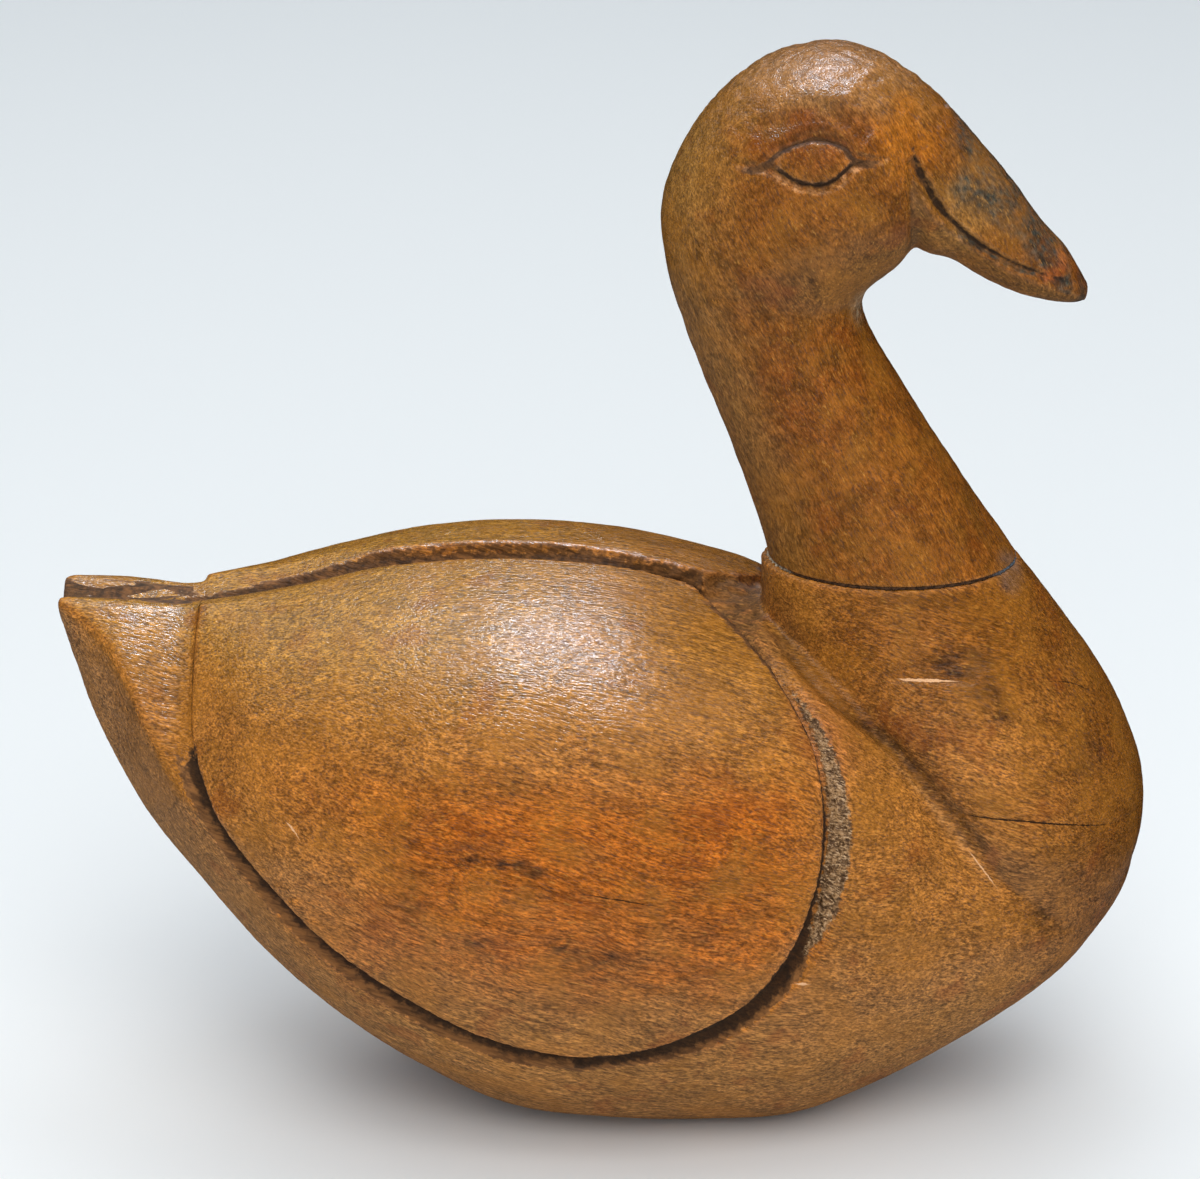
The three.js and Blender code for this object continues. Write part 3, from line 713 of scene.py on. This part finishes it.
# Head and neck are a second piece of the same timber, its fibres along the neck, glued on the foot of
# the neck. Eyes and mouth are cut with a small gouge, and the bill is whittled to a long wedge.
head_ribs = [
    (11.6, 74, 49.3, 74, 15.2, 0.5, 2, 2),
    (10.6, 81, 44.4, 81, 13.4, 0.5, 2, 2),
    (8.4, 88, 39.5, 88, 12.6, 0.5, 2, 2),
    (5.5, 96, 34.4, 96, 12.2, 0.5, 2, 2),
    (2, 105, 28.6, 105, 12, 0.5, 2, 2),
    (-1, 113, 23.6, 113.5, 12.2, 0.5, 2, 2),
    (-3, 119.5, 23.3, 118.3, 12.8, 0.5, 2, 2),
    (-4.1, 126, 28, 122.4, 14, 0.5, 2, 2),
    (-4, 131, 32.2, 127.5, 14.8, 0.5, 2, 2),
    (-2.2, 137, 33.8, 134, 15, 0.5, 2, 2),
    (1.5, 142.8, 33, 140.6, 14, 0.5, 2, 2),
    (6, 147.4, 30, 146.2, 11.5, 0.5, 2, 2),
    (10.8, 150.2, 25.8, 149.8, 7.8, 0.5, 2, 2),
    (15.5, 151.5, 22, 151.4, 3.4, 0.5, 2, 2),
]
bill_ribs = [
    (20, 149, 25, 127, 10, 0.6, 2, 2),
    (27.6, 148.6, 28.6, 125, 10.6, 0.6, 2, 2),
    (33.1, 144.3, 31.2, 123.6, 9.5, 0.6, 2.2, 2.2),
    (37.4, 139.3, 34.6, 122.7, 8.2, 0.6, 2.3, 2.3),
    (42.6, 133.1, 38.5, 120.4, 7.2, 0.6, 2.3, 2.3),
    (46.7, 127.6, 43, 118.1, 6.2, 0.6, 2.3, 2.3),
    (50, 124, 47.6, 116.7, 5, 0.6, 2.2, 2.2),
    (52.2, 120.5, 51, 116.3, 3.4, 0.55, 2, 2),
    (53.3, 118.6, 53, 116.6, 1.8, 0.5, 2, 2),
]
upper_lid = [
    (4.8, 138.4, 0.6, 0.4), (8, 139, 1, 0.6), (10.6, 141.2, 1.7, 0.9), (15.2, 143.1, 2.4, 1.3),
    (19.5, 142, 1.8, 1), (21.2, 140.2, 1.2, 0.7), (25, 139.2, 0.6, 0.3),
]
lower_lid = [
    (6, 138.2, 0.8, 0.4), (9.4, 138, 1.3, 0.8), (12, 136.6, 1.6, 0.9), (15.2, 135.8, 1.6, 1),
    (18.4, 136.5, 1.6, 1), (20.9, 138.7, 1.2, 0.7), (24.2, 139.3, 0.6, 0.3),
]
mouth = [
    (28.6, 139.2, 0.9, 0.6), (30.2, 135.3, 1.7, 1.1), (32.8, 131, 1.5, 1), (37, 126.8, 1.3, 0.9),
    (41.7, 123.7, 1.1, 0.8), (46.2, 121.7, 0.8, 0.6), (49.2, 120.6, 0.5, 0.3),
]

head = loft("head_and_neck_carved", head_ribs, 6, 128)
neck_end = seam_height + seam_gap / 2
work(head, "DIFFERENCE", block("under_seam", (-far, -far, -far), (far, far, neck_end)))
work(head, "UNION", loft("bill", bill_ribs, 6, 96))
upper_path = laid(head, upper_lid, from_side)
lower_path = laid(head, lower_lid, from_side)
mouth_path = laid(head, mouth, from_side)
for opposite in (False, True):
    work(head, "DIFFERENCE", gouge("upper_cut", upper_path, 0.8, 0.6, opposite))
    work(head, "DIFFERENCE", gouge("lower_cut", lower_path, 0.6, -0.6, opposite))
    work(head, "DIFFERENCE", gouge("mouth_cut", mouth_path, 0.6, -0.3, opposite))
even_out(head, 0.28)

points, normals, edges = measured(head)
points = relax(points, edges, 0.5, 1)
mirrored = near_side(points)
upper_gap, upper_across, upper_along = beside(mirrored, *upper_path[:2])
lower_gap, lower_across, lower_along = beside(mirrored, *lower_path[:2])
mouth_gap, mouth_across, mouth_along = beside(mirrored, *mouth_path[:2])
calm = smooth_step(np.minimum(np.minimum(upper_gap, lower_gap), mouth_gap), 1.4, 2.8)
at_seam = smooth_step(points[:, 2], neck_end + 0.3, neck_end + 1)
bill_end = smooth_step(points[:, 0], 44, 49)
corners = patch(points, (25.5, 0, 118.5), (4, 8, 5)) + patch(points, (31, 0, 124), (4, 8, 4))
keep = calm * at_seam * (1 - bill_end) * (1 - 0.8 * np.clip(corners, 0, 1))
points = relax(points, edges, (0.5 * keep)[:, None], 16)
forehead = smooth_step(points[:, 2], 139, 143) * band(points[:, 0], 20, 36, 3)
points = relax(points, edges, (0.5 * forehead * calm)[:, None], 120)

# The brow swells over the eye, the eye itself stands a little proud, a soft crease parts cheek and
# bill, and the bill's ridge and the forehead are nicked.
eye = np.hypot((mirrored[:, 0] - 15.3) / 5.6, (mirrored[:, 2] - 139.2) / 3.1)
eye_side = smooth_step(-mirrored[:, 1], 9, 11)
handwork = 0.14 * speckle(points, (13, 13, 13), 5) + 0.07 * speckle(points, (4.2, 4.2, 4.2), 12)
figure = 0.03 * speckle(points, (1.1, 1.1, 1.6), 9)
brow = band(upper_across, -5.4, -0.2, 2.4) * band(upper_along, 0.2, 0.86, 0.2) * smooth_step(upper_gap, 5, 3)
swell = patch(mirrored, (15.5, -12, 147), (9, 8, 3.4))
dome = 0.35 * smooth_step(eye, 1.0, 0.3) * eye_side
dents = 0.1 * speckle(points, (1.5, 1.4, 1.4), 23) * smooth_step(points[:, 2], 136, 143)
cheek_line = flowing([(28.3, -10.4, 137.7), (29, -10.2, 133.2), (29.4, -9.6, 130.3), (29.4, -7.6, 127.4),
                      (29, -3, 124)], 8)
cheek_gap = beside(mirrored, cheek_line, (0.3, -1, 0))[0]
cheek = smooth_step(cheek_gap, 1.8, 0.2)
nicks = patch(points, (42.3, 0, 134), (0.9, 3, 1.2)) + patch(points, (33.4, -1, 144.2), (0.5, 2, 1.6))
shift = (handwork + dents) * calm + figure + dome - 0.5 * brow + 0.25 * swell - 0.45 * cheek - 0.3 * nicks
points += normals * (shift * at_seam)[:, None]
reshape(head, points)

points, normals, edges = measured(head)
bend = hollowness(points, normals, edges, 4)
drift = np.stack([speckle(points, (4, 4, 4), place) for place in (11, 23, 37)], 1)
loose = points + 1.2 * drift
grit = speckle(points, (0.7, 0.7, 0.7), 61)

cut = np.maximum(np.maximum(0.4 - upper_across, upper_across - 1.3), upper_gap - 1.4)
cut = np.maximum(cut, 9 * np.maximum(0.06 - upper_along, upper_along - 0.94))
lower_cut = np.maximum(np.maximum(-1.1 - lower_across, lower_across + 0.4), lower_gap - 1.3)
lower_cut = np.maximum(lower_cut, 9 * np.maximum(0.2 - lower_along, lower_along - 0.84))
mouth_half = np.interp(mouth_along, [0, 0.15, 0.5, 1], [0.15, 0.42, 0.26, 0.1])
mouth_cut = np.maximum(np.abs(mouth_across + 0.2) - mouth_half, mouth_gap - 1)
cut = np.minimum(np.minimum(cut, lower_cut), mouth_cut)
mark(head, "cut", np.minimum(cut, 4))
mark(head, "torn", np.full(len(points), 4))
# Eye and mouth cuts: dirt with painted shade, lighter by the upper lid.
mark(head, "soot_and_shade", np.where(upper_gap < 1.5, 0.55, 0.85))
mark(head, "dull", np.clip(smooth_step(bend, 0.004, 0.02) + smooth_step(normals[:, 2], 0, -0.5), 0, 1))

# Painted highlight along the lower lid's edge, round the rim of the eye and along the mouth's lower edge, broken by
# grit.
lip = band(lower_across, -0.3, 0.8, 0.4) * smooth_step(lower_gap, 1.1, 0.7) * (0.5 + 0.8 * grit)
island = band(eye, 0.7, 0.98, 0.12) * eye_side
lip += island * (0.3 + 0.8 * grit) + band(mouth_across, 0.4, 1.4, 0.4) * smooth_step(mouth_gap, 1.7, 1) * 0.5 * grit
tones = np.tile(tint(136, 78, 22), (len(points), 1))
tones = stained(tones, 0.5 * smooth_step(drift[:, 0], 0, 0.8), 122, 76, 24)
tones = stained(tones, 0.8 * smooth_step(loose[:, 2], 124, 142) * smooth_step(loose[:, 0], 6, -4), 166, 120, 54)
# The crown turns paler: partly the wood's own tone, partly painted sheen from above.
tones = stained(tones, 0.6 * smooth_step(loose[:, 2], 142, 149), 166, 120, 72)
tones = stained(tones, 0.7 * patch(loose, (26, -8, 141), (8, 9, 8)), 180, 104, 26)
tones = stained(tones, 0.75 * patch(loose, (16, -12, 142), (9, 9, 6)), 120, 62, 20)
tones = stained(tones, 0.5 * patch(loose, (14, -12, 101), (9, 9, 16)), 130, 68, 20)
tones = stained(tones, 0.6 * smooth_step(normals[:, 2], 0.1, -0.5), 112, 80, 34)
tones = stained(tones, 0.6 * smooth_step(-normals[:, 0], 0.2, 0.9), 158, 112, 54)
tones = stained(tones, 0.7 * patch(loose, (36, -6, 132), (9, 9, 9)), 150, 106, 50)
ridge = smooth_step(points[:, 2], 114, 118) * band(loose[:, 0], 33, 51.5, 3)
ridge *= smooth_step(normals[:, 0] + normals[:, 2] + 0.35 * drift[:, 1], 0.1, 0.6)
tones = stained(tones, 0.85 * ridge * (0.8 + 0.5 * grit), 64, 66, 58)
tones = stained(tones, 0.6 * patch(loose, (48, -4, 122.4), (3, 4, 2)), 178, 88, 26)
tones = stained(tones, 0.85 * smooth_step(loose[:, 0], 50.6, 52.4), 62, 50, 38)
# Painted shade in the hollows, in the crease between cheek and bill, and under the brow above the eye.
tones = stained(tones, smooth_step(bend, 0.006, 0.03) * 0.7, 84, 56, 28)
tones = stained(tones, 0.5 * cheek * smooth_step(points[:, 2], 138, 134), 92, 64, 34)
tones = stained(tones, 0.6 * brow * smooth_step(upper_across, -3, -0.6), 104, 64, 30)
# Painted highlight on the lids, the eye's rim and the mouth.
tones = stained(tones, 0.7 * lip, 196, 136, 84)
tones = stained(tones, 0.4 * smooth_step(-bend, 0.008, 0.03), 188, 120, 60)
tones = stained(tones, 0.7 * patch(loose, (24, -4, 117.5), (5, 6, 5)) * (0.6 + 0.5 * grit), 176, 156, 124)
seam_smear = patch(points + 0.7 * drift, (44, -6, 80.6), (3, 6, 2))
tones = stained(tones, 0.6 * seam_smear, 74, 78, 80)
colour(head, tones)
thin_out(head, 190000)
finish_with(head, aged_wood("neck_wood", (0, -1.05, 0), 0.7))
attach(head, "root")
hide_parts("head_and_neck")

# Glue was squeezed out of the joint and left as a thin line of crumbs, darkened by dirt all round,
# pale and thick at the back of the neck, and blue-grey in front. It sticks to both pieces.
glue_inset = 0.3
rows = flowing(head_ribs, 20)
back, level, front, _, half_width = rows[np.abs(rows[:, 1] - seam_height).argmin(), :5]
turn = np.linspace(0, 2 * math.pi, 240, endpoint=False)
ring = np.stack([
    (back + front) / 2 + ((front - back) / 2 - glue_inset) * np.cos(turn),
    (half_width - glue_inset) * np.sin(turn), np.full(len(turn), seam_height)], 1)
glue = new_piece("neck_glue", ring, [])
glue.data.edges.add(len(ring))
glue.data.edges.foreach_set("vertices", np.stack([range(240), np.roll(range(240), -1)], 1).ravel())


def crumbs(name):
    """A tree that runs a bead along a line and scatters lumps over it, larger at the back."""
    tree = bpy.data.node_groups.new(name, "GeometryNodeTree")
    tree.interface.new_socket("Geometry", in_out="OUTPUT", socket_type="NodeSocketGeometry")
    for title, kind in (("Geometry", "Geometry"), ("Bead radius", "Float"), ("Crumb radius", "Float"),
                        ("Crumbs per square metre", "Float"), ("Seed", "Int")):
        tree.interface.new_socket(title, in_out="INPUT", socket_type="NodeSocket" + kind)

    def add(kind, values, family="Geometry", **settings):
        return node(tree, kind, values, family, **settings).outputs

    given = tree.nodes.new("NodeGroupInput").outputs
    line = add("MeshToCurve", {"Mesh": given["Geometry"]})[0]
    outline = add("CurvePrimitiveCircle", {"Resolution": 10, "Radius": given["Bead radius"]})[0]
    bead = add("CurveToMesh", {"Curve": line, "Profile Curve": outline})[0]
    rough = add("TexNoise", {"Scale": 900.0, "Detail": 2.0}, "Shader")["Color"]
    rough = add("VectorMath", {0: rough, 1: (0.5, 0.5, 0.5)}, "Shader", operation="SUBTRACT")[0]
    rough = add("VectorMath", {0: rough, "Scale": 0.5 * mm}, "Shader", operation="SCALE")[0]
    bead = add("SetPosition", {"Geometry": bead, "Offset": rough})[0]
    spots = add("DistributePointsOnFaces", {
        "Mesh": bead, "Density": given["Crumbs per square metre"], "Seed": given["Seed"]})[0]
    x = add("SeparateXYZ", {0: add("InputPosition", {})[0]}, "Shader")[0]
    thick = add("MapRange", {0: x, 1: 0.014, 2: 0.011, 3: 1.0, 4: 2.4}, "Shader")[0]
    size = add("RandomValue", {2: 0.35, 3: 1.2, "Seed": given["Seed"]}, "Function", data_type="FLOAT")[1]
    size = add("Math", {0: size, 1: thick}, "Shader", operation="MULTIPLY")[0]
    lump = add("MeshIcoSphere", {"Radius": given["Crumb radius"], "Subdivisions": 2})[0]
    lying = add("InstanceOnPoints", {"Points": spots, "Instance": lump, "Scale": size})[0]
    lying = add("RealizeInstances", {"Geometry": lying})[0]
    both = tree.nodes.new("GeometryNodeJoinGeometry")
    tree.links.new(bead, both.inputs[0])
    tree.links.new(lying, both.inputs[0])
    finished = add("SetMaterial", {"Geometry": both.outputs[0], "Material": bpy.data.materials["glue"]})[0]
    tree.links.new(finished, tree.nodes.new("NodeGroupOutput").inputs[0])
    return tree


def old_glue():
    made = bpy.data.materials.new("glue")
    made.use_nodes = True
    tree = made.node_tree
    place = node(tree, "TexCoord", {}).outputs["Object"]
    place = node(tree, "VectorMath", {0: place, "Scale": 1 / mm}, operation="SCALE").outputs[0]
    shade = ramp(tree, lumps(tree, place, (0.5, 0.5, 0.5), 3.0), 0.35, 0.65, 0.5, 1.3)
    tone = node(tree, "VectorMath", {0: read_mark(tree, "tone", "Color"), "Scale": shade}, operation="SCALE")
    shader = tree.nodes["Principled BSDF"]
    tree.links.new(tone.outputs[0], shader.inputs["Base Color"])
    shader.inputs["Roughness"].default_value = 0.75


old_glue()
grow = glue.modifiers.new("crumbs", "NODES")
grow.node_group = crumbs("crumbs")
chosen = {"Bead radius": 0.24 * mm, "Crumb radius": 0.13 * mm, "Crumbs per square metre": 3e6, "Seed": 4}
for socket in grow.node_group.interface.items_tree:
    if socket.name in chosen:
        grow[socket.identifier] = chosen[socket.name]
settle(glue)
points = measured(glue)[0]
drift = speckle(points, (2, 2, 2), 3)
tones = np.tile(tint(66, 42, 22), (len(points), 1))
tones = stained(tones, smooth_step(points[:, 0] + drift, 14, 11), 176, 158, 132)
tones = stained(tones, smooth_step(points[:, 0] + drift, 40, 44), 80, 88, 96)
colour(glue, tones)
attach(glue, "root")

# The floor, the light and the camera.
floor = block("floor", (-2000, -2000, -1), (2000, 2000, -0.05))
floor_paint = bpy.data.materials.new("floor_paint")
floor_paint.use_nodes = True
floor_paint.node_tree.nodes["Principled BSDF"].inputs["Base Color"].default_value = tint(243, 243, 240)
floor.data.materials.append(floor_paint)
floor.visible_glossy = False
camera = bpy.data.objects.new("camera", bpy.data.cameras.new("camera"))
camera.data.lens, camera.data.sensor_width = 120.96, 36
camera.location = (-0.0125, -0.5228, 0.2752)
camera.rotation_euler = (math.radians(69), 0, 0)
bpy.context.scene.collection.objects.link(camera)
bpy.context.scene.camera = camera


def lamp(name, place, size, power, lit="all"):
    """A square softbox that lights only the dull or only the shiny side of things, or all of them."""
    light = bpy.data.objects.new(name, bpy.data.lights.new(name, "AREA"))
    light.data.energy, light.data.size = power, size
    light.location = place
    light.rotation_euler = (Vector((0, 0, 0.07)) - Vector(place)).to_track_quat("-Z", "Y").to_euler()
    light.visible_diffuse, light.visible_glossy = lit != "shiny", lit != "dull"
    bpy.context.scene.collection.objects.link(light)


lamp("glint", (0.07, 0.26, 1.06), 0.24, 10, lit="shiny")
bpy.data.lights["glint"].color = (0.72, 0.84, 1)
lamp("overhead", (-0.1, 0.35, 1.3), 1.7, 12)
lamp("front_top", (0.1, -0.9, 1.2), 1.0, 12, lit="dull")
lamp("front_fill", (0.2, -1.3, 0.3), 1.2, 5, lit="dull")
world = bpy.data.worlds.new("studio")
bpy.context.scene.world = world
world.use_nodes = True
world.node_tree.nodes["Background"].inputs[0].default_value = tint(208, 230, 252)
world.node_tree.nodes["Background"].inputs[1].default_value = 0.4
world.cycles_visibility.glossy = False
bpy.context.scene.view_settings.view_transform = "Standard"
